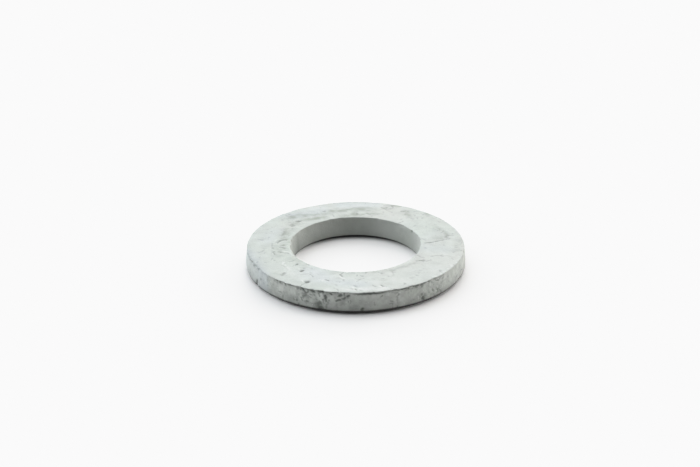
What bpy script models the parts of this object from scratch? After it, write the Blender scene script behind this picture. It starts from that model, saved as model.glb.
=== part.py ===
"""Plain flat washer for an M16 bolt: one ring, blanked and pierced from 3 mm strip steel, then zinc coated.

The ring lies with its die-roll side down. The origin is the centre of its lower bearing face, and +Z runs up
the bore's axis. Units are metres.

One stroke of a compound die shears both walls from below. Each wall therefore starts with a rounded die roll at
the lower face, runs straight up through a burnished land, and then leans into the metal through the fracture
zone, up to a small broken edge at the upper face.
"""

import math

import bpy

OUTER_DIAMETER = 0.030
BORE_DIAMETER = 0.0175
THICKNESS = 0.003

# Each die roll: how far it reaches across the lower face, and how far up the wall.
OUTER_ROLL = (0.00090, 0.00064)
BORE_ROLL = (0.00020, 0.00034)
LAND_TOP = 0.00115  # height at which the burnished land ends and the fracture zone begins
OUTER_LEAN = 0.00016  # how far the outer wall leans into the metal between there and the upper face
BORE_LEAN = 0.00014  # how far the bore's wall does
EDGE_BREAK = 0.00008  # radius of the upper edges, dulled by tumbling

RING_STEPS = 96  # facets round the ring
DIE_ROLL_STEPS = 6  # facets across a die roll
EDGE_BREAK_STEPS = 3  # facets across an upper edge
MERGE_DISTANCE = 0.000001

ZINC_COLOUR = (0.37, 0.40, 0.38, 1.0)  # linear
ZINC_ROUGHNESS = 0.75
ZINC_METALLIC = 0.25


def clear_scene():
    for item in list(bpy.data.objects):
        bpy.data.objects.remove(item)


def quarter_ellipse(centre, half_width, half_height, start_angle, steps):
    """Points (radius, height) on a quarter turn of an ellipse, clockwise from start_angle in radians."""
    points = []
    for step in range(steps + 1):
        angle = start_angle - 0.5 * math.pi * step / steps
        radius = centre[0] + half_width * math.cos(angle)
        height = centre[1] + half_height * math.sin(angle)
        points.append((radius, height))
    return points


def ring_profile():
    """The ring's closed section (radius, height): down the outer wall, in along the base, up the bore."""
    outer = 0.5 * OUTER_DIAMETER
    bore = 0.5 * BORE_DIAMETER
    edge_height = THICKNESS - EDGE_BREAK
    quarter = 0.5 * math.pi

    outer_edge_centre = (outer - OUTER_LEAN - EDGE_BREAK, edge_height)
    outer_edge = quarter_ellipse(outer_edge_centre, EDGE_BREAK, EDGE_BREAK, quarter, EDGE_BREAK_STEPS)
    width, height = OUTER_ROLL
    outer_roll = quarter_ellipse((outer - width, height), width, height, 0.0, DIE_ROLL_STEPS)
    width, height = BORE_ROLL
    bore_roll = quarter_ellipse((bore + width, height), width, height, -quarter, DIE_ROLL_STEPS)
    bore_edge_centre = (bore + BORE_LEAN + EDGE_BREAK, edge_height)
    bore_edge = quarter_ellipse(bore_edge_centre, EDGE_BREAK, EDGE_BREAK, -2.0 * quarter, EDGE_BREAK_STEPS)
    return [*outer_edge, (outer, LAND_TOP), *outer_roll, *bore_roll, (bore, LAND_TOP), *bore_edge]


def make_washer():
    """The section turned once round the Z axis."""
    profile = ring_profile()
    points = [(radius, 0.0, height) for radius, height in profile]
    edges = [(i, (i + 1) % len(points)) for i in range(len(points))]
    mesh = bpy.data.meshes.new("washer")
    mesh.from_pydata(points, edges, [])
    washer = bpy.data.objects.new("washer", mesh)
    bpy.context.scene.collection.objects.link(washer)

    turn = washer.modifiers.new("turn", "SCREW")
    turn.axis = "Z"
    turn.angle = 2.0 * math.pi
    turn.steps = RING_STEPS
    turn.render_steps = RING_STEPS
    turn.use_merge_vertices = True
    turn.merge_threshold = MERGE_DISTANCE
    turn.use_smooth_shade = True
    return washer


def zinc_coated_steel():
    material = bpy.data.materials.new("zinc_coated_steel")
    material.use_nodes = True
    shader = material.node_tree.nodes["Principled BSDF"]
    shader.inputs["Base Color"].default_value = ZINC_COLOUR
    shader.inputs["Roughness"].default_value = ZINC_ROUGHNESS
    shader.inputs["Metallic"].default_value = ZINC_METALLIC
    return material


clear_scene()
make_washer().data.materials.append(zinc_coated_steel())
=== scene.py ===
"""A plain flat washer, dull zinc on sheared steel, lying on a pale studio floor."""

import itertools
import math
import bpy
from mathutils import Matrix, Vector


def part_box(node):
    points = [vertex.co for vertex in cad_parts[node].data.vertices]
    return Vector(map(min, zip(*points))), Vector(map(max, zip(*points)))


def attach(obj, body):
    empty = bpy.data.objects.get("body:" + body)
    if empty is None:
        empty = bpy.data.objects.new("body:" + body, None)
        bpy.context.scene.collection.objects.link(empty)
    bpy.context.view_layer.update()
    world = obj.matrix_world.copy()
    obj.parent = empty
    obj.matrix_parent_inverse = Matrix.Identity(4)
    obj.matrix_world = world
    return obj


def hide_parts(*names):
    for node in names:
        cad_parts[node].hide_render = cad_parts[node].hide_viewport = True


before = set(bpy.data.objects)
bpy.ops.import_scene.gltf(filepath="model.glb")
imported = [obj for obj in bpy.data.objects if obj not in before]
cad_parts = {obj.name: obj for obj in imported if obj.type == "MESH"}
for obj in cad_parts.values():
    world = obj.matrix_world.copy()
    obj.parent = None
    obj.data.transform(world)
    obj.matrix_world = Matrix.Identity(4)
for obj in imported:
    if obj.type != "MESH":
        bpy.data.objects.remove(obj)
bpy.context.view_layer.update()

from types import SimpleNamespace

import bpy
import numpy as np
from mathutils import Matrix, Vector

# ----------------------------------------------------------------------------------------------------------
# The ring
#
# One ring of 3 mm strip steel. A compound die blanks the outside and pierces the bore in one stroke from
# below, so each wall has a rounded die roll at its foot, a smooth land over it, and a torn, leaning fracture
# zone at the top. Barrel tumbling folds the burr over and nicks the edges, and dull zinc covers it all.
# ----------------------------------------------------------------------------------------------------------

MM = 0.001

RING_LOW, RING_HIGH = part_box("washer")
OUTER_RADIUS = RING_HIGH.x
THICKNESS = RING_HIGH.z

OUTER_ROLL = (0.90 * MM, 0.64 * MM)  # width and height of the die roll under the outer wall
BORE_ROLL = (0.20 * MM, 0.34 * MM)
LAND_TOP = 1.15 * MM  # where the smooth land gives way to the fracture zone
OUTER_LEAN = 0.16 * MM
BORE_LEAN = 0.14 * MM
EDGE_BREAK = 0.08 * MM

TURN_STEPS = 720  # grid columns round the ring


def bore_radius():
    """Least distance from the axis among the CAD ring's corners."""
    corners = np.array([corner.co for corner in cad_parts["washer"].data.vertices])
    return float(np.hypot(corners[:, 0], corners[:, 1]).min())


BORE_RADIUS = bore_radius()
MIDDLE_RADIUS = 0.5 * (OUTER_RADIUS + BORE_RADIUS)


def quarter_ellipse(centre, half_width, half_height, start_angle, steps):
    """centre + (half_width cos a, half_height sin a), with a falling a quarter turn from start_angle."""
    a = np.linspace(start_angle, start_angle - 0.5 * math.pi, steps)
    return np.stack([centre[0] + half_width * np.cos(a), centre[1] + half_height * np.sin(a)], axis=1)


def straight(start, end, steps):
    """Points from start to end at equal spacing, with both ends left out."""
    share = np.linspace(0.0, 1.0, steps + 2)[1:-1, None]
    return (1.0 - share) * np.array(start) + share * np.array(end)


def ring_section():
    """The closed section as rows of (radius, height): down the outer wall, in along the base, up the bore
    and back out across the upper face. Rows are closest at the outer wall's top, where the folded burr is."""
    outer_top = OUTER_RADIUS - OUTER_LEAN
    bore_top = BORE_RADIUS + BORE_LEAN
    edge_height = THICKNESS - EDGE_BREAK
    burr_foot = THICKNESS - 0.55 * MM
    quarter = 0.5 * math.pi
    outer_edge = quarter_ellipse((outer_top - EDGE_BREAK, edge_height), EDGE_BREAK, EDGE_BREAK, quarter, 6)
    outer_roll = quarter_ellipse((OUTER_RADIUS - OUTER_ROLL[0], OUTER_ROLL[1]), *OUTER_ROLL, 0.0, 11)
    bore_roll = quarter_ellipse((BORE_RADIUS + BORE_ROLL[0], BORE_ROLL[1]), *BORE_ROLL, -quarter, 8)
    bore_edge = quarter_ellipse((bore_top + EDGE_BREAK, edge_height), EDGE_BREAK, EDGE_BREAK, -2 * quarter, 6)
    wall_slope = OUTER_LEAN / (edge_height - LAND_TOP)
    outer_at_burr_foot = OUTER_RADIUS - wall_slope * (burr_foot - LAND_TOP)
    return np.concatenate([
        outer_edge,
        straight(outer_edge[-1], (outer_at_burr_foot, burr_foot), 10),
        [(outer_at_burr_foot, burr_foot)],
        straight((outer_at_burr_foot, burr_foot), (OUTER_RADIUS, LAND_TOP), 14),
        [(OUTER_RADIUS, LAND_TOP)],
        straight((OUTER_RADIUS, LAND_TOP), outer_roll[0], 7),
        outer_roll,
        straight(outer_roll[-1], bore_roll[0], 7),
        bore_roll,
        straight(bore_roll[-1], (BORE_RADIUS, LAND_TOP), 7),
        [(BORE_RADIUS, LAND_TOP)],
        straight((BORE_RADIUS, LAND_TOP), bore_edge[0], 17),
        bore_edge,
        straight(bore_edge[-1], outer_edge[0], 37),
    ])


def section_normals(section):
    """Outward unit normals: each row's chord between its two neighbours, turned a quarter turn."""
    chord = np.roll(section, -1, axis=0) - np.roll(section, 1, axis=0)
    normal = np.stack([-chord[:, 1], chord[:, 0]], axis=1)
    return normal / np.linalg.norm(normal, axis=1, keepdims=True)


def lattice_noise(points, cell, seed):
    """Smooth noise from -1 to 1. Each corner of a lattice of the given cell holds a random value. A point
    takes the mean of its cell's eight corners, weighted along each axis by 6t^5 - 15t^4 + 10t^3."""
    period = 64
    corner_values = np.random.default_rng(seed).uniform(-1.0, 1.0, (period, period, period))
    scaled = points / np.asarray(cell)
    corner = np.floor(scaled).astype(int)
    t = scaled - corner
    t = t * t * t * (t * (6.0 * t - 15.0) + 10.0)
    total = np.zeros(points.shape[:-1])
    for step in itertools.product((0, 1), repeat=3):
        weight = np.prod(np.where(np.array(step) == 1, t, 1.0 - t), axis=-1)
        x, y, z = np.moveaxis((corner + step) % period, -1, 0)
        total += weight * corner_values[x, y, z]
    return total


def layered_noise(points, cell, seed, layers=3):
    """Lattice noise, plus the same at half the cell and half the height, and so on, divided by their sum."""
    cell = np.asarray(cell)
    total = sum(0.5**i * lattice_noise(points, cell / 2**i, seed + i) for i in range(layers))
    return total / sum(0.5**i for i in range(layers))


def ease(low, high, value):
    """0 below low, 1 above high and the cubic 3t^2 - 2t^3 between them."""
    t = np.clip((value - low) / (high - low), 0.0, 1.0)
    return t * t * (3.0 - 2.0 * t)


def stroke(place, start, end, width):
    """exp(-(d / width)^2), where d is the distance from place to the segment from start to end. The three
    are pairs: across and up."""
    run = (end[0] - start[0], end[1] - start[1])
    offset = (place[0] - start[0], place[1] - start[1])
    share = (offset[0] * run[0] + offset[1] * run[1]) / max(run[0] ** 2 + run[1] ** 2, 1e-12)
    share = np.clip(share, 0.0, 1.0)
    return np.exp(-((offset[0] - share * run[0]) ** 2 + (offset[1] - share * run[1]) ** 2) / width**2)


def strokes(marks, place, across, spread):
    """Each mark's stroke, widened by spread, and the mark's last number. A mark is (from across, up, to
    across, up, half width, last number). Across is in steps of that length, and the rest in millimetres."""
    for from_across, from_up, to_across, to_up, width, amount in marks:
        start = (from_across * across, from_up * MM)
        end = (to_across * across, to_up * MM)
        yield stroke(place, start, end, spread * width * MM), amount


def round_ring(degrees, stretch, power):
    """strength exp(-((degrees - middle) / half width)^power). The higher power has the flatter top."""
    middle, half_width, strength = stretch
    return strength * np.exp(-(((degrees - middle) / half_width) ** power))


# Scars on the upper face: (from x, y, to x, y, half width, depth), in millimetres. A negative depth is a bead
# of zinc that stands proud.
FACE_SCARS = [
    (-8.3, 7.6, -8.0, 7.8, 0.34, 0.06),
    (-8.9, 6.0, -9.1, 6.4, 0.26, 0.03),
    (-10.1, 3.9, -10.1, 2.9, 0.20, 0.03),
    (-9.7, 1.2, -10.3, 0.9, 0.17, 0.05),
    (-10.4, 0.8, -10.7, 0.3, 0.15, 0.05),
    (-10.1, -1.3, -9.7, -1.4, 0.15, 0.04),
    (-11.5, 0.0, -11.3, -0.9, 0.09, 0.03),
    (-11.4, -1.2, -11.2, -1.5, 0.12, 0.03),
    (-11.2, -2.5, -10.8, -3.4, 0.11, 0.04),
    (-10.4, -2.6, -10.1, -2.9, 0.12, 0.04),
    (-9.9, -2.4, -9.2, -2.7, 0.16, -0.03),
    (-9.0, -2.9, -8.3, -3.9, 0.15, -0.03),
    (-9.7, -2.9, -9.1, -3.2, 0.08, 0.03),
    (-10.9, 1.4, -11.3, 0.4, 0.12, -0.02),
    (-9.7, -6.2, -9.3, -6.8, 0.13, -0.04),
    (-9.1, -7.3, -8.7, -8.1, 0.13, -0.03),
    (-8.0, -6.6, -7.8, -6.4, 0.15, 0.07),
    (-7.2, -8.6, -6.9, -8.4, 0.17, 0.08),
    (-7.4, -8.0, -7.1, -7.9, 0.15, -0.05),
    (-9.6, -9.6, -9.2, -9.2, 0.26, 0.04),
    (-9.4, -8.8, -9.1, -8.6, 0.12, -0.03),
    (-6.4, -11.7, -6.1, -11.6, 0.28, 0.12),
    (-6.9, -11.3, -6.8, -11.8, 0.13, -0.05),
    (-3.9, -11.2, -3.5, -11.5, 0.12, 0.05),
    (-4.2, -11.3, -4.3, -11.7, 0.12, -0.04),
    (-2.1, -9.8, -1.9, -10.1, 0.14, 0.05),
    (-2.2, -10.4, -1.6, -10.9, 0.13, -0.04),
    (-0.1, -13.9, 0.0, -14.2, 0.12, 0.05),
    (-0.3, -12.9, -0.1, -13.1, 0.12, 0.04),
    (-0.6, -13.5, -0.3, -13.8, 0.18, -0.08),
    (0.4, -13.9, 0.6, -14.2, 0.13, -0.06),
    (-1.2, -14.1, -0.9, -14.3, 0.12, -0.05),
    (2.0, -12.9, 2.4, -13.1, 0.13, 0.04),
    (3.1, -12.8, 3.3, -13.2, 0.15, 0.055),
    (2.8, -13.1, 2.9, -13.4, 0.12, -0.04),
    (8.4, -5.8, 9.1, -5.7, 0.13, 0.05),
    (10.1, -4.5, 10.5, -4.4, 0.12, 0.035),
    (10.5, -4.4, 12.6, -4.5, 0.06, 0.03),
    (9.4, -0.3, 10.9, 0.3, 0.09, 0.05),
    (10.9, 0.3, 12.4, 0.9, 0.09, 0.05),
    (12.4, 0.9, 12.9, 1.2, 0.10, 0.05),
    (12.6, 1.5, 12.8, 2.4, 0.20, 0.035),
    (-2.2, 14.5, 2.9, 14.4, 0.07, 0.03),
    (10.0, -10.7, 10.3, -10.5, 0.13, -0.07),
    (10.7, -10.1, 10.9, -9.8, 0.12, -0.06),
    (11.2, -9.4, 11.5, -9.1, 0.13, -0.07),
    (11.9, -8.6, 12.0, -8.4, 0.13, -0.06),
    (12.4, -7.8, 12.6, -7.5, 0.12, -0.06),
    (13.1, -6.6, 13.2, -6.4, 0.12, -0.05),
]

# Smudges on the upper face: (from x, y, to x, y, half width, strength), in millimetres. Grime lies in the
# zinc's pores. A negative strength is a stretch that was rubbed clean. Those weaker than 0.25 are no mark of
# their own, and only set how dark the face is there.
FACE_SMUDGES = [
    (-3.1, 11.4, -0.8, 11.6, 0.70, 0.85),
    (-0.6, 12.1, 1.9, 12.2, 0.45, 0.75),
    (0.7, 12.0, 1.1, 11.8, 0.50, 0.95),
    (1.9, 11.3, 2.9, 11.5, 0.45, 0.85),
    (0.1, 11.6, -0.2, 9.6, 0.50, 0.80),
    (-1.8, 9.5, 1.2, 9.6, 0.48, 0.80),
    (1.2, 9.7, 3.4, 9.4, 0.50, 0.40),
    (-6.2, 12.4, 3.0, 13.5, 0.60, -0.22),
    (1.9, 10.2, 3.2, 10.0, 0.60, 0.50),
    (3.6, 11.6, 4.6, 12.4, 0.30, 0.40),
    (-5.6, 10.2, -3.2, 10.9, 0.70, 0.75),
    (-9.2, 9.2, -6.2, 9.8, 0.90, 0.80),
    (-7.0, 8.4, -4.6, 9.0, 0.60, 0.80),
    (-8.4, 6.9, -9.7, 3.0, 0.70, 0.60),
    (-9.6, 5.2, -9.9, 2.0, 0.50, 0.60),
    (-9.6, 1.4, -9.5, -1.6, 0.60, 0.60),
    (-10.6, -1.2, -10.3, -3.6, 0.50, 0.50),
    (-8.6, -4.6, -7.0, -7.4, 0.45, 0.35),
    (-14.2, -4.0, -13.2, -7.6, 0.40, 0.45),
    (-10.4, -9.2, -7.8, -11.4, 0.50, 0.30),
    (-2.9, -9.4, 1.6, -9.3, 0.26, 0.35),
    (1.8, -9.3, 4.9, -8.5, 0.34, 0.45),
    (2.2, -11.0, 3.8, -11.6, 0.90, 0.15),
    (2.6, -10.4, 6.4, -8.6, 0.90, -0.22),
    (9.8, -8.8, 12.2, -5.0, 1.00, -0.20),
    (4.9, -8.5, 8.6, -5.6, 0.28, 0.35),
    (7.4, 10.9, 7.6, 9.2, 0.42, 0.80),
    (10.3, 10.0, 10.8, 9.5, 0.35, 0.60),
    (5.7, 13.3, 6.6, 13.0, 0.42, 0.65),
    (11.3, 5.6, 12.9, 2.4, 0.38, 0.50),
    (11.2, 1.4, 12.6, 1.6, 0.60, 0.40),
    (14.1, 0.6, 13.6, -2.4, 0.50, 0.35),
    (-8.0, -8.6, -2.0, -11.2, 2.20, -0.22),
    (0.0, -11.6, 5.0, -11.4, 1.80, -0.20),
    (-3.6, -13.9, 3.6, -14.0, 0.55, -0.60),
]

# Patches where the coat is tinted colder and bluer: (from x, y, to x, y, half width, strength), in
# millimetres.
COLD_PATCHES = [
    (-5.6, -8.8, -4.4, -10.6, 1.7, 1.0),
    (-3.4, -11.6, 0.6, -12.6, 1.1, 1.0),
    (-9.0, 9.6, -5.0, 11.4, 1.4, 1.0),
    (-9.8, 10.6, -10.6, 9.8, 0.9, 0.8),
    (-2.2, 13.4, 3.0, 13.4, 1.0, 1.0),
    (-11.2, 4.0, -12.0, 1.4, 1.2, 0.6),
    (-14.6, -2.0, -11.8, -9.4, 0.7, 1.0),
    (9.6, -1.8, 12.4, -2.4, 1.1, 0.5),
]

# Tears in the outer wall: (from angle in degrees, height, to angle, height, half width, depth), in
# millimetres. A negative depth stands proud.
WALL_TEARS = [
    (210.0, 1.00, 209.0, 0.50, 0.28, 0.11),
    (213.6, 1.30, 213.9, 1.10, 0.13, -0.05),
    (210.8, 1.10, 211.4, 0.80, 0.13, -0.05),
    (220.8, 2.90, 220.6, 1.90, 0.12, 0.02),
    (229.5, 2.00, 229.2, 1.50, 0.13, -0.02),
    (231.4, 1.10, 231.0, 0.60, 0.12, 0.04),
    (240.4, 1.40, 240.0, 1.10, 0.16, 0.05),
    (238.4, 1.10, 238.0, 0.95, 0.12, 0.04),
    (241.2, 0.80, 240.8, 0.60, 0.14, 0.06),
    (242.0, 2.95, 243.0, 2.75, 0.14, 0.08),
    (243.6, 2.55, 244.6, 2.35, 0.13, 0.06),
    (245.8, 2.65, 245.2, 2.40, 0.11, 0.07),
    (244.8, 2.10, 243.6, 1.70, 0.11, 0.05),
    (242.4, 1.60, 242.9, 1.30, 0.11, 0.05),
    (248.8, 2.90, 249.4, 2.75, 0.13, 0.08),
    (251.6, 2.65, 252.0, 2.30, 0.12, 0.07),
    (252.2, 2.90, 253.4, 2.70, 0.12, 0.08),
    (250.4, 1.80, 250.8, 1.30, 0.14, 0.04),
    (251.6, 1.20, 252.6, 0.60, 0.40, 0.065),
    (252.9, 2.30, 253.9, 1.60, 0.13, -0.06),
    (254.4, 2.25, 255.0, 2.00, 0.17, 0.09),
    (255.2, 1.85, 255.4, 1.60, 0.13, 0.06),
    (255.6, 1.20, 255.2, 0.70, 0.14, 0.04),
    (256.8, 2.80, 257.9, 2.65, 0.13, 0.07),
    (259.0, 2.45, 259.6, 2.30, 0.11, 0.05),
    (264.4, 2.95, 264.2, 2.65, 0.11, 0.08),
    (262.8, 2.70, 261.6, 2.50, 0.11, 0.07),
    (266.6, 2.50, 265.8, 2.40, 0.14, 0.09),
    (264.8, 2.28, 263.2, 2.16, 0.12, 0.08),
    (262.2, 2.00, 260.6, 1.80, 0.12, 0.08),
    (265.6, 1.95, 264.8, 1.80, 0.11, -0.04),
    (267.8, 2.75, 268.6, 2.55, 0.12, -0.04),
    (272.9, 0.75, 272.5, 0.58, 0.20, 0.09),
    (278.6, 1.60, 279.0, 1.30, 0.12, 0.03),
    (284.8, 2.60, 285.2, 2.35, 0.13, -0.05),
    (286.9, 1.20, 287.2, 1.00, 0.12, 0.05),
    (291.0, 2.40, 291.3, 1.50, 0.15, -0.03),
    (289.6, 2.10, 289.9, 1.30, 0.14, 0.03),
    (302.8, 2.85, 303.8, 2.75, 0.13, 0.06),
    (303.2, 1.60, 303.6, 1.45, 0.13, 0.045),
    (304.2, 0.95, 304.7, 0.74, 0.26, 0.09),
    (301.2, 1.40, 301.6, 1.10, 0.12, -0.04),
    (310.2, 1.70, 311.0, 1.40, 0.16, 0.05),
    (313.0, 1.50, 314.4, 1.30, 0.18, 0.06),
    (309.8, 2.75, 311.4, 2.45, 0.12, 0.04),
    (315.2, 2.80, 316.4, 2.50, 0.12, 0.045),
    (315.6, 1.10, 316.4, 0.85, 0.12, 0.05),
]

# Short teeth torn out right under the rim, in the form of WALL_TEARS.
RIM_TEETH = [
    (226.6, 2.86, 227.6, 2.84, 0.09, 0.07),
    (231.6, 2.90, 233.0, 2.86, 0.09, 0.08),
    (235.6, 2.88, 236.8, 2.84, 0.10, 0.08),
    (246.6, 2.92, 247.8, 2.86, 0.10, 0.09),
    (258.6, 2.94, 261.0, 2.90, 0.09, 0.09),
    (287.0, 2.86, 288.4, 2.84, 0.09, 0.08),
    (291.6, 2.88, 293.0, 2.84, 0.09, 0.09),
    (294.2, 2.90, 296.4, 2.82, 0.10, 0.10),
    (297.6, 2.88, 298.6, 2.86, 0.09, 0.09),
    (300.6, 2.90, 302.0, 2.84, 0.10, 0.10),
    (304.6, 2.90, 306.0, 2.86, 0.09, 0.09),
    (307.6, 2.88, 309.0, 2.86, 0.08, 0.08),
]

# Stretches of the ring: the angle of the middle and the half width, in degrees, then the strength.
TORN_STRETCH = (252.0, 14.0, 1.0)
CALM_STRETCHES = [(204.0, 20.0, 0.3), (338.0, 18.0, 0.85)]
FRONT_BURR = (276.5, 7.5, 1.0)
BATTERED_STRETCHES = [(240.0, 20.0, 1.0), (299.0, 11.0, 1.0), (203.0, 12.0, 0.5)]
WORN_STRETCH = (200.0, 18.0, 1.0)
BORE_NICK = (26.8, 1.4, 1.0)

# Stretches that are no mark of their own, and only set how pale or how dark a wall is there.
PALE_UPPER_WALL = (314.0, 10.0, 0.15)
DARK_LOWER_WALL = (231.0, 12.0, 0.08)
DARK_BORE_LEFT = (157.0, 10.0, 0.24)
DARK_BORE_LEFT_CORE = (156.5, 2.6, 0.16)
DARK_BORE_RIGHT = (16.0, 8.0, 0.07)


def surveyed_ring(section, normals):
    """The section carried round the axis, as points of (rows, columns, 3), and what the wear is worked out
    from: a column of values for the rows of the section, and a row of angles for the columns of the ring."""
    angle = np.arange(TURN_STEPS) * 2.0 * math.pi / TURN_STEPS
    radius, height = section[:, 0:1], section[:, 1:2]
    facing_out, facing_up = normals[:, 0:1], normals[:, 1:2]
    across, along = radius * np.cos(angle), radius * np.sin(angle)
    points = np.stack([across, along, height * np.ones_like(angle)], axis=-1)
    return SimpleNamespace(
        points=points,
        flat_points=points * (1, 1, 0),
        angle=angle,
        degrees=np.degrees(angle),
        radius=radius,
        height=height,
        below_top=THICKNESS - height,
        facing_out=facing_out,
        facing_up=facing_up,
        outside=radius > MIDDLE_RADIUS,
        wall=ease(0.35, 0.8, np.abs(facing_out)) * np.ones_like(angle),
        upper=ease(0.6, 0.95, facing_up) * np.ones_like(angle),
        near_rim=ease(OUTER_RADIUS - 0.9 * MM, OUTER_RADIUS - 0.3 * MM, radius),
    )


def scattered_scars(count, seed):
    """Small seeded scars all over the upper face, in the form of FACE_SCARS."""
    rng = np.random.default_rng(seed)
    radius = rng.uniform(BORE_RADIUS + 0.5 * MM, OUTER_RADIUS - 0.3 * MM, count) / MM
    around, heading = rng.uniform(0.0, 2.0 * math.pi, (2, count))
    length = 0.15 + rng.exponential(0.35, count)
    width = rng.uniform(0.07, 0.13, count)
    depth = rng.uniform(0.008, 0.035, count)
    x, y = radius * np.cos(around), radius * np.sin(around)
    return np.stack([x, y, x + length * np.cos(heading), y + length * np.sin(heading), width, depth], axis=1)


def scattered_tears(count, seed):
    """Small seeded tears round the whole outer wall, mostly upright, in the form of WALL_TEARS."""
    rng = np.random.default_rng(seed)
    start = rng.uniform(0.0, 360.0, count)
    height = rng.uniform(0.55, 2.85, count)
    drop = rng.exponential(0.22, count) + 0.05
    lean = rng.normal(0.0, 1.1, count)
    width = rng.uniform(0.07, 0.12, count)
    depth = rng.uniform(0.01, 0.05, count)
    return np.stack([start, height, start + lean, np.maximum(height - drop, 0.4), width, depth], axis=1)


def sheared_walls(ring):
    """The fracture zone starts at an uneven height. It is rougher outside than in the bore, and is torn in
    some stretches and calm in others. Returns how far it moves each point along its normal, how hollow and
    how torn it is there, and how much of it is smooth land."""
    land_edge = LAND_TOP + 0.40 * MM * layered_noise(ring.flat_points, 2.2 * MM, 11, 2)
    fracture = ring.wall * ease(-0.25 * MM, 0.45 * MM, ring.height - land_edge)
    torn = ease(-0.3, 0.5, layered_noise(ring.flat_points, 3.5 * MM, 51, 2))
    torn = np.maximum(0.7 * torn, round_ring(ring.degrees, TORN_STRETCH, 2))
    torn = torn * (1.0 - sum(round_ring(ring.degrees, calm, 4) for calm in CALM_STRETCHES))

    coarse = np.where(ring.outside, 0.42 + 0.58 * torn, 0.10)
    grooves = layered_noise(ring.points, (0.55 * MM, 0.55 * MM, 0.8 * MM), 21)
    lumps = layered_noise(ring.points, 0.75 * MM, 31, 4)
    pits = ease(0.30, 0.62, layered_noise(ring.points, 0.38 * MM, 41, 2)) * torn * fracture * coarse
    moved = ring.wall * (0.4 + 0.6 * fracture) * coarse * (0.020 * grooves + 0.080 * lumps) * MM
    moved -= 0.05 * MM * pits

    hollow = 0.7 * pits + 0.25 * ring.wall * coarse * ease(0.1, 0.6, -lumps)
    land = np.where(ring.outside, ease(0.9 * MM, -0.7 * MM, ring.height - land_edge), 0.35)
    return moved, hollow, torn, ring.wall * land


def toned_walls(ring, hollow):
    """hollow, faded where the upper wall is pale and deepened where a wall is dark, and a mask of the pale
    wall."""
    pale = ring.outside * round_ring(ring.degrees, PALE_UPPER_WALL, 4)
    faded = pale / PALE_UPPER_WALL[2] * ease(1.3 * MM, 2.0 * MM, ring.height)
    low = ease(1.8 * MM, 1.2 * MM, ring.height)
    dark = ring.outside * round_ring(ring.degrees, DARK_LOWER_WALL, 4) * low
    bore = round_ring(ring.degrees, DARK_BORE_LEFT_CORE, 2)
    bore = bore + round_ring(ring.degrees, DARK_BORE_RIGHT, 2)
    bore = bore + round_ring(ring.degrees, DARK_BORE_LEFT, 2) * ease(3.6 * MM, 0.8 * MM, ring.height)
    hollow = hollow * (1.0 - 0.7 * faded) + ring.wall * (dark + ~ring.outside * bore)
    return hollow, ring.wall * pale * ease(1.4 * MM, 2.1 * MM, ring.height)


def cut_marks(marks, area, broken, darkest, brightest):
    """Sinks or raises each (stroke, depth) inside the area, faded in and out by broken. Returns how far the
    points move along their normals, and two masks: the hollows' darkness and the raised ones' brightness.
    darkest and brightest are each a mask's limit and the depth, in millimetres, that would take it to 1."""
    moved, hollow, rubbed_and_highlight = np.zeros((3, *broken.shape))
    for mark, depth in marks:
        mark = ease(0.15, 0.95, mark * area * broken)
        moved -= 0.8 * depth * MM * mark
        hollow = np.maximum(hollow, mark * min(darkest[0], depth / darkest[1]))
        rubbed_and_highlight = np.maximum(rubbed_and_highlight, mark * min(brightest[0], -depth / brightest[1]))
    return moved, hollow, rubbed_and_highlight


def smudged_face(ring, place):
    """Grime in the pores of the upper face, where the coat was rubbed clean, and where its tint is cold."""
    pores = ease(-0.85, 0.85, layered_noise(ring.points * (1.0, 1.6, 1.0), 0.9 * MM, 111, 4))
    grime, clean, cold = np.zeros((3, *pores.shape))
    for smudge, strength in strokes(FACE_SMUDGES, place, MM, 1.2):
        grime = np.maximum(grime, strength * smudge * ring.upper * pores)
        clean = np.maximum(clean, -strength * smudge * ring.upper * (1.3 - pores))
    for patch, strength in strokes(COLD_PATCHES, place, MM, 1.0):
        cold = np.maximum(cold, strength * patch)
    return grime, clean, cold


def folded_burr(ring, battered):
    """A ragged lip on the outer edge that stands proud of the wall, with a shallow groove under it that is
    painted dark as its shadow. It is heaviest at the front, where the groove is also taller. Returns how far
    out each point moves, and how dark the painted shadow is."""
    front = round_ring(ring.degrees, FRONT_BURR, 4)
    lip_depth = (0.07 + 0.05 * layered_noise(ring.flat_points, 0.9 * MM, 121, 2)) * MM
    reach = ease(-0.1, 0.5, layered_noise(ring.flat_points, 2.0 * MM, 131, 3))
    reach = np.clip(0.5 * reach + 0.3 * battered + front, 0.0, 1.0)
    reach = reach * np.clip(0.8 + 0.7 * layered_noise(ring.flat_points, 0.4 * MM, 141, 2), 0.0, 1.0)
    lip = ring.near_rim * (1.0 - ease(-0.035 * MM, 0.035 * MM, ring.below_top - lip_depth))
    gap_height = (0.09 + 0.05 * front) * MM
    shadowed_groove = ring.near_rim * np.exp(-(((ring.below_top - lip_depth - gap_height) / gap_height) ** 2))
    outwards = 0.10 * MM * reach * (lip - 0.35 * shadowed_groove) * ring.outside
    return outwards, 1.2 * shadowed_groove * np.maximum(reach, 0.9 * front)


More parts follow.
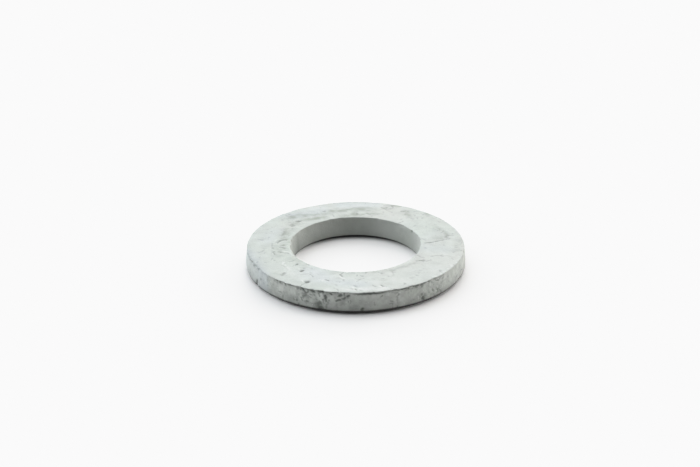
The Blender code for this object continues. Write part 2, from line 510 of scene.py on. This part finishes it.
def battered_rims(ring, battered):
    """Both upper edges after the barrel. The outer one is dented, chipped, and worn round at the left, and
    the bore's is dented and has one dark nick. Returns how far each point moves along its normal, how far it
    moves outwards, and how hollow it is."""
    from_rim = np.hypot(OUTER_RADIUS - OUTER_LEAN - ring.radius, ring.below_top)
    rim = ring.outside * np.exp(-((from_rim / (0.33 * MM)) ** 2))
    heavy = np.clip(battered + round_ring(ring.degrees, FRONT_BURR, 4), 0.0, 1.0)
    dents = ease(0.0, 0.75, layered_noise(ring.flat_points, 0.60 * MM, 151, 3))
    dents = dents * (0.35 + 0.65 * heavy)

    from_bore_rim = np.hypot(ring.radius - BORE_RADIUS - BORE_LEAN, ring.below_top)
    bore_rim = ~ring.outside * np.exp(-((from_bore_rim / (0.28 * MM)) ** 2))
    bore_dents = ease(0.0, 0.6, layered_noise(ring.flat_points, 1.1 * MM, 181, 3))
    bore_nick = bore_rim * round_ring(ring.degrees, BORE_NICK, 2)
    outwards = 0.13 * MM * bore_rim * bore_dents + 0.06 * MM * bore_nick - 0.24 * MM * rim * dents

    chips = ease(-0.10, 0.35, layered_noise(ring.points, 0.32 * MM, 171, 2))
    chips = chips * ring.near_rim * ring.wall * battered
    chips = chips * np.exp(-(((ring.below_top - 0.22 * MM) / (0.20 * MM)) ** 2))
    worn = rim * round_ring(ring.degrees, WORN_STRETCH, 4)
    moved = -0.11 * MM * worn - 0.04 * MM * chips
    return moved, outwards, np.maximum(0.9 * chips, bore_nick * ring.wall)


def nicked_edges(ring):
    """Small nicks round both upper edges, and a pale band along the outer one, partly metal worn bare and
    partly a painted highlight.
    """
    edge = ease(0.25, 0.5, ring.facing_up) * ease(0.25, 0.5, np.abs(ring.facing_out))
    nicks = ease(0.10, 0.80, layered_noise(ring.flat_points, 0.45 * MM, 155, 3))
    rubbed_edge_and_highlight = ease(0.20, 0.55, layered_noise(ring.points, 0.45 * MM, 161, 2)) * ring.outside
    rubbed_edge_and_highlight = rubbed_edge_and_highlight * (0.8 - 0.6 * round_ring(ring.degrees, WORN_STRETCH, 4)) * ring.near_rim
    rubbed_edge_and_highlight = rubbed_edge_and_highlight * ease(0.2, 0.5, ring.facing_up) * ease(0.9999, 0.995, ring.facing_up)
    return -0.09 * MM * edge * nicks, rubbed_edge_and_highlight


def painted_foot_shade(ring):
    """The die rolls, from the flat lower face up to the foot of each wall. They are painted near black, a
    painted shade as deep as a contact shadow under them, and the bore's is fainter at its sides."""
    roll_height = np.where(ring.outside, OUTER_ROLL[1], BORE_ROLL[1])
    foot = ease(1.02, 0.72, ring.height / roll_height) * ease(-1.0, -0.995, ring.facing_up)
    return foot * np.where(ring.outside, 1.0, np.clip(1.25 * np.sin(ring.angle) ** 2, 0.25, 1.0))


def worn_surface(ring):
    """How far each grid point moves along its section normal, how far outwards, and masks from 0 to 1."""
    moved, hollow, torn, land = sheared_walls(ring)
    hollow, pale_wall = toned_walls(ring, hollow)

    # The coat lies unevenly: faint runs and orange peel on both faces.
    peel = 0.012 * layered_noise(ring.points, 1.3 * MM, 71, 3)
    runs = 0.015 * lattice_noise(ring.points, 6.0 * MM, 81)

    # Marks wander off their straight course and fade in and out.
    drift_across = 0.20 * MM * layered_noise(ring.points, 0.6 * MM, 91, 2)
    drift_up = 0.20 * MM * layered_noise(ring.points, 0.6 * MM, 95, 2)
    broken = 1.0 + 0.9 * layered_noise(ring.points, 0.35 * MM, 101, 2)

    outer_wall = ring.wall * ring.outside
    wall_place = (OUTER_RADIUS * ring.angle + drift_across, ring.height + drift_up)
    tears = [*WALL_TEARS, *RIM_TEETH, *scattered_tears(150, 5)]
    tears = strokes(tears, wall_place, OUTER_RADIUS * math.radians(1.0), 1.15)
    torn_in, tear_hollow, tear_rubbed = cut_marks(tears, outer_wall, broken, (0.9, 0.08), (0.5, 0.08))

    face_place = (ring.points[..., 0] + drift_across, ring.points[..., 1] + drift_up)
    scars = strokes([*FACE_SCARS, *scattered_scars(190, 7)], face_place, MM, 1.15)
    cut_in, scar_hollow, scar_rubbed = cut_marks(scars, ring.upper, broken, (0.8, 0.09), (0.65, 0.07))
    grime, clean, cold = smudged_face(ring, face_place)

    battered = sum(round_ring(ring.degrees, stretch, 4) for stretch in BATTERED_STRETCHES)
    burr_outwards, shadowed_groove = folded_burr(ring, battered)
    knocked_in, rim_outwards, rim_hollow = battered_rims(ring, battered)
    nicked, rubbed_edge_and_highlight = nicked_edges(ring)

    cloudy = outer_wall * (0.55 + 0.45 * torn)
    masks = {
        "sheared": ring.wall,
        "cloudy": cloudy,
        "land": land,
        "cold": cold,
        # The groove under the burr joins the hollows as painted shadow.
        "hollow": np.maximum.reduce([hollow, tear_hollow, scar_hollow, shadowed_groove, rim_hollow]),
        "grime": grime,
        # Pale zinc where it was worn, and a painted highlight along the outer edge. The pale upper wall only
        # sets tone here.
        "rubbed_and_highlight": np.maximum.reduce([pale_wall, tear_rubbed, scar_rubbed, clean, rubbed_edge_and_highlight]),
        # Painted shade in the die rolls.
        "foot": painted_foot_shade(ring),
        "speckled": np.maximum(cloudy, (ring.near_rim + 0.4) * ring.upper),
    }
    masks = {name: np.clip(mask, 0.0, 1.0) for name, mask in masks.items()}
    moved = moved + (peel + runs) * MM + torn_in + cut_in + knocked_in + nicked
    return moved, burr_outwards + rim_outwards, masks


def ring_mesh():
    """The worn grid as a closed mesh, each cell one face, with the masks as point attributes."""
    section = ring_section()
    normals = section_normals(section)
    ring = surveyed_ring(section, normals)
    moved, outwards, masks = worn_surface(ring)
    radial = np.stack([np.cos(ring.angle), np.sin(ring.angle), np.zeros_like(ring.angle)], axis=-1)
    upwards = np.array([0.0, 0.0, 1.0])
    points = ring.points + radial * (moved * ring.facing_out + outwards)[..., None]
    points = points + upwards * (moved * ring.facing_up)[..., None]
    points[..., 2] = np.maximum(points[..., 2], 0.0)

    rows, columns = points.shape[:2]
    row, column = np.meshgrid(np.arange(rows), np.arange(columns), indexing="ij")
    next_row, next_column = (row + 1) % rows, (column + 1) % columns
    corners = [row * columns + column, next_row * columns + column]
    corners += [next_row * columns + next_column, row * columns + next_column]
    faces = np.stack(corners, axis=-1).reshape(-1, 4)

    mesh = bpy.data.meshes.new("washer_ring")
    mesh.from_pydata(points.reshape(-1, 3), [], faces)
    mesh.shade_smooth()
    for name, mask in masks.items():
        layer = mesh.attributes.new(name, "FLOAT", "POINT")
        layer.data.foreach_set("value", (mask * np.ones((rows, columns))).astype(np.float32).ravel())
    return mesh


# Colours of the coat, linear, and of the painted shade and highlight over it.
FACE_GREEN = (0.363, 0.396, 0.370, 1)
FACE_BLUE = (0.370, 0.400, 0.386, 1)
FACE_WARM = (0.384, 0.401, 0.383, 1)
FACE_COLD = (0.368, 0.399, 0.402, 1)
WALL_DARK = (0.327, 0.349, 0.322, 1)
WALL_LIGHT = (0.380, 0.396, 0.375, 1)
WALL_COLD = (0.375, 0.404, 0.404, 1)
LAND_SHARE = (0.82, 0.82, 0.82, 1)  # the land's brightness as a share of the wall's
# Pale worn zinc, also used as a painted highlight along the outer edge.
RUBBED_ZINC_AND_HIGHLIGHT = (0.52, 0.54, 0.53, 1)
BRIGHT_SPECK = (0.62, 0.65, 0.63, 1)
DARK_SPECK = (0.12, 0.13, 0.12, 1)
PORE_GRIME = (0.17, 0.20, 0.16, 1)
# Dark in hollows, and also the painted shadow in the groove under the burr.
HOLLOW_DARK = (0.09, 0.10, 0.09, 1)
# Painted shade in the die rolls, as deep as a contact shadow.
FOOT_SHADE = (0.04, 0.04, 0.037, 1)


def zinc_coat():
    """Matt zinc. Noise tints the faces and clouds the walls, and the ring's masks lay the wear over it, with
    painted shade in the die rolls and under the burr and a painted highlight along the outer edge.
    """
    material = bpy.data.materials.new("dull_zinc")
    material.use_nodes = True
    nodes, links = material.node_tree.nodes, material.node_tree.links
    shader = nodes["Principled BSDF"]
    shader.inputs["Metallic"].default_value = 0.25
    place = nodes.new("ShaderNodeTexCoord").outputs["Object"]

    def mask(name):
        node = nodes.new("ShaderNodeAttribute")
        node.attribute_name = name
        return node.outputs["Fac"]

    def noise(scale, detail, low, high, start=0.3, end=0.7):
        """Noise of that scale per metre, with its values from start to end spread out from low to high."""
        node = nodes.new("ShaderNodeTexNoise")
        node.inputs["Scale"].default_value = scale
        node.inputs["Detail"].default_value = detail
        links.new(place, node.inputs["Vector"])
        span = nodes.new("ShaderNodeMapRange")
        span.inputs["From Min"].default_value = start
        span.inputs["From Max"].default_value = end
        span.inputs["To Min"].default_value = low
        span.inputs["To Max"].default_value = high
        links.new(node.outputs["Fac"], span.inputs["Value"])
        return span.outputs["Result"]

    def mix(factor, first, second, blend="MIX"):
        node = nodes.new("ShaderNodeMix")
        node.data_type = "RGBA"
        node.blend_type = blend
        for socket, value in ((node.inputs[0], factor), (node.inputs[6], first), (node.inputs[7], second)):
            if isinstance(value, bpy.types.NodeSocket):
                links.new(value, socket)
            else:
                socket.default_value = value
        return node.outputs[2]

    face = mix(noise(150, 1, 0, 1), FACE_GREEN, FACE_BLUE)
    face = mix(noise(90, 1, -1, 1), face, FACE_WARM)
    face = mix(mask("cold"), face, FACE_COLD)
    face = mix(1.0, face, noise(650, 3, 0.93, 1.05), "MULTIPLY")
    wall = mix(noise(380, 3, 0, 1), WALL_DARK, WALL_LIGHT)
    cloudy = mix(1.0, wall, noise(1250, 3, 0.80, 1.24), "MULTIPLY")
    wall = mix(mask("cloudy"), wall, cloudy)
    wall = mix(mask("cold"), wall, WALL_COLD)
    wall = mix(mask("land"), wall, mix(1.0, wall, LAND_SHARE, "MULTIPLY"))
    colour = mix(mask("sheared"), face, wall)
    # Pale where the zinc was worn, and a painted highlight along the outer edge.
    colour = mix(mask("rubbed_and_highlight"), colour, RUBBED_ZINC_AND_HIGHLIGHT)
    bright_specks = mix(noise(4400, 1, 0.0, 0.5, 0.68, 0.74), colour, BRIGHT_SPECK)
    specks = mix(noise(3700, 1, 0.45, 0.0, 0.27, 0.33), bright_specks, DARK_SPECK)
    colour = mix(mask("speckled"), colour, specks)
    colour = mix(mask("grime"), colour, PORE_GRIME)
    # Dark in hollows. In the groove under the burr this is painted shadow.
    colour = mix(mask("hollow"), colour, HOLLOW_DARK)
    # Painted shade: the die rolls near black, as deep as a contact shadow.
    colour = mix(mask("foot"), colour, FOOT_SHADE)
    links.new(colour, shader.inputs["Base Color"])
    links.new(noise(900, 3, 0.70, 0.80), shader.inputs["Roughness"])
    grain = nodes.new("ShaderNodeBump")
    grain.inputs["Distance"].default_value = 0.02 * MM
    grain.inputs["Strength"].default_value = 0.5
    links.new(noise(5200, 2, 0, 1), grain.inputs["Height"])
    links.new(grain.outputs["Normal"], shader.inputs["Normal"])
    return material


washer_ring = bpy.data.objects.new("washer_ring", ring_mesh())
bpy.context.scene.collection.objects.link(washer_ring)
washer_ring.data.materials.append(zinc_coat())
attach(washer_ring, "root")
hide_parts("washer")

# ----------------------------------------------------------------------------------------------------------
# The floor
#
# A sheet of matt white paper under the ring, wide enough to run out of sight at every height of the camera.
# Its colour is painted darker close to the ring's foot, a painted contact shadow.
# ----------------------------------------------------------------------------------------------------------

FLOOR_RADIUS = 3.0
FLOOR_ALBEDO = 0.94
FLOOR_DROP = 0.01 * MM
FLOOR_RINGS = 12
FLOOR_STEPS = 96

# Each shade: the radius of its middle, its width, the direction that it lies in, how sharply it keeps to that
# direction, and its strength.
BORE_SHADE = (BORE_RADIUS + 0.15 * MM, 0.75 * MM, math.radians(85.0), 2.0, 0.85)
FRONT_SHADE = (OUTER_RADIUS - 0.40 * MM, 0.75 * MM, math.radians(265.0), 8.0, 0.42)


def disc_mesh(radius, rings, steps):
    """Rings of (r cos a, r sin a), with r as the cube of the ring's number, and a fan at the centre."""
    a = np.arange(steps) * 2.0 * math.pi / steps
    r = radius * (np.arange(1, rings + 1) / rings) ** 3
    grid = np.stack([r[:, None] * np.cos(a), r[:, None] * np.sin(a), np.zeros((rings, steps))], axis=-1)
    points = np.concatenate([[(0.0, 0.0, 0.0)], grid.reshape(-1, 3)])
    ring, step = np.meshgrid(np.arange(rings - 1), np.arange(steps), indexing="ij")
    inner = 1 + ring * steps + step
    inner_next = 1 + ring * steps + (step + 1) % steps
    quads = np.stack([inner, inner + steps, inner_next + steps, inner_next], axis=-1).reshape(-1, 4)
    spoke = np.arange(steps)
    fan = np.stack([np.zeros(steps, int), 1 + spoke, 1 + (spoke + 1) % steps], axis=-1)
    mesh = bpy.data.meshes.new("floor")
    mesh.from_pydata(points, [], [*fan.tolist(), *quads.tolist()])
    return mesh


def white_paper():
    """Matt paper with a painted contact shadow close to the ring's foot: inside the bore at the back, and
    outside at the front.
    """
    material = bpy.data.materials.new("white_paper")
    material.use_nodes = True
    nodes, links = material.node_tree.nodes, material.node_tree.links
    shader = nodes["Principled BSDF"]
    shader.inputs["Roughness"].default_value = 1.0
    shader.inputs["Specular IOR Level"].default_value = 0.0
    place = nodes.new("ShaderNodeTexCoord").outputs["Object"]

    def measure(operation, vector, against=(0.0, 0.0, 0.0)):
        node = nodes.new("ShaderNodeVectorMath")
        node.operation = operation
        links.new(vector, node.inputs[0])
        node.inputs[1].default_value = against
        return node.outputs["Value"]

    def calculate(operation, first, second=0.0):
        node = nodes.new("ShaderNodeMath")
        node.operation = operation
        for socket, value in zip(node.inputs, (first, second)):
            if isinstance(value, bpy.types.NodeSocket):
                links.new(value, socket)
            else:
                socket.default_value = value
        return node.outputs["Value"]

    radius = measure("LENGTH", place)

    def contact_shade(centre, width, towards, sharpness, strength):
        """strength exp(-((radius - centre) / width)^2) c^sharpness; c is the cosine to the angle towards."""
        share = calculate("DIVIDE", calculate("SUBTRACT", radius, centre), width)
        bell = calculate("EXPONENT", calculate("MULTIPLY", calculate("MULTIPLY", share, share), -1.0))
        ahead = measure("DOT_PRODUCT", place, (math.cos(towards), math.sin(towards), 0.0))
        cosine = calculate("DIVIDE", ahead, radius)
        facing = calculate("POWER", calculate("MAXIMUM", cosine, 0.0), sharpness)
        return calculate("MULTIPLY", calculate("MULTIPLY", bell, facing), strength)

    shaded = calculate("ADD", contact_shade(*BORE_SHADE), contact_shade(*FRONT_SHADE))
    unshaded = calculate("SUBTRACT", 1.0, shaded)
    links.new(calculate("MULTIPLY", unshaded, FLOOR_ALBEDO), shader.inputs["Base Color"])
    return material


floor = bpy.data.objects.new("floor", disc_mesh(FLOOR_RADIUS, FLOOR_RINGS, FLOOR_STEPS))
floor.location.z = RING_LOW.z - FLOOR_DROP
bpy.context.scene.collection.objects.link(floor)
floor.data.materials.append(white_paper())

# ----------------------------------------------------------------------------------------------------------
# The light
#
# Broad soft lamps in a studio: a low row behind the ring and at both sides, more at 45 degrees, and faint
# ones overhead and at the front right. Those at the right are a little warm, and those at the left a little
# cool. The camera sees a white backdrop, which lights nothing.
# ----------------------------------------------------------------------------------------------------------

# Each softbox: the azimuth it shines from (0 is behind the ring, 90 to its right), its elevation and the
# angle it spreads over, all in degrees, then its strength and its warmth.
SOFTBOXES = [
    (0, 11, 40, 2.70, 0.0),
    (45, 11, 40, 2.24, 0.018),
    (-45, 11, 40, 1.70, -0.025),
    (90, 11, 40, 1.53, 0.018),
    (-90, 11, 40, 1.38, -0.025),
    (135, 11, 40, 0.23, 0.018),
    (0, 45, 60, 1.12, 0.0),
    (45, 45, 60, 0.79, 0.018),
    (90, 45, 60, 0.28, 0.018),
    (-90, 45, 60, 1.39, -0.025),
    (0, 90, 50, 0.22, 0.0),
]

for azimuth, elevation, spread, strength, warmth in SOFTBOXES:
    lamp = bpy.data.lights.new("softbox", "SUN")
    lamp.energy = strength
    lamp.color = (1.0 + warmth, 1.0, 1.0 - warmth)
    lamp.angle = math.radians(spread)
    light = bpy.data.objects.new("softbox", lamp)
    a, e = math.radians(azimuth), math.radians(elevation)
    towards = Vector((math.sin(a) * math.cos(e), math.cos(a) * math.cos(e), math.sin(e)))
    light.rotation_euler = towards.to_track_quat("Z", "Y").to_euler()
    bpy.context.scene.collection.objects.link(light)

BACKDROP = (1.37, 1.37, 1.37, 1.0)

world = bpy.data.worlds.new("studio")
bpy.context.scene.world = world
world.use_nodes = True
nodes, links = world.node_tree.nodes, world.node_tree.links
room = nodes["Background"]
room.inputs["Color"].default_value = (0.0, 0.0, 0.0, 1.0)
seen = nodes.new("ShaderNodeBackground")
seen.inputs["Color"].default_value = BACKDROP
choose = nodes.new("ShaderNodeMixShader")
links.new(nodes.new("ShaderNodeLightPath").outputs["Is Camera Ray"], choose.inputs[0])
links.new(room.outputs[0], choose.inputs[1])
links.new(seen.outputs[0], choose.inputs[2])
links.new(choose.outputs[0], nodes["World Output"].inputs["Surface"])

# The film's response: straight up to the shoulder, then a decay towards a white that never quite clips.
SHOULDER = 0.75
WHITE = 0.966
BRIGHTEST = 2.0

view = bpy.context.scene.view_settings
view.view_transform = "Standard"
view.use_curve_mapping = True
response = view.curve_mapping
response.white_level = (BRIGHTEST, BRIGHTEST, BRIGHTEST)
combined = response.curves[3]
for level in np.arange(0.1, BRIGHTEST, 0.1):
    over = max(level - SHOULDER, 0.0) / (WHITE - SHOULDER)
    shown = min(level, SHOULDER) + (WHITE - SHOULDER) * (1.0 - math.exp(-over))
    combined.points.new(level / BRIGHTEST, shown)
combined.points[-1].location = (1.0, WHITE)
response.update()

# ----------------------------------------------------------------------------------------------------------
# The camera
#
# It stands in front of the ring and looks down at it, rolled a little. The aim is the point that it looks at,
# measured from the ring's origin along the camera's right and up before the roll.
# ----------------------------------------------------------------------------------------------------------

CAMERA_ELEVATION = math.radians(24.1)
CAMERA_ROLL = math.radians(0.59)
CAMERA_DISTANCE = 146.6 * MM
CAMERA_AIM_RIGHT = -0.742 * MM
CAMERA_AIM_UP = 4.050 * MM
SENSOR_WIDTH = 36.0  # millimetres, as is the focal length
FOCAL_LENGTH = 54.63

right = Vector((1.0, 0.0, 0.0))
up = Vector((0.0, math.sin(CAMERA_ELEVATION), math.cos(CAMERA_ELEVATION)))
back = Vector((0.0, -math.cos(CAMERA_ELEVATION), math.sin(CAMERA_ELEVATION)))
lens = bpy.data.cameras.new("camera")
lens.sensor_width = SENSOR_WIDTH
lens.lens = FOCAL_LENGTH
lens.clip_start = 10.0 * MM
lens.clip_end = 10.0  # metres, well past the floor's edge
camera = bpy.data.objects.new("camera", lens)
place = CAMERA_AIM_RIGHT * right + CAMERA_AIM_UP * up + CAMERA_DISTANCE * back
turn = Matrix((right, up, back)).transposed().to_4x4() @ Matrix.Rotation(-CAMERA_ROLL, 4, "Z")
camera.matrix_world = Matrix.Translation(place) @ turn
bpy.context.scene.collection.objects.link(camera)
bpy.context.scene.camera = camera
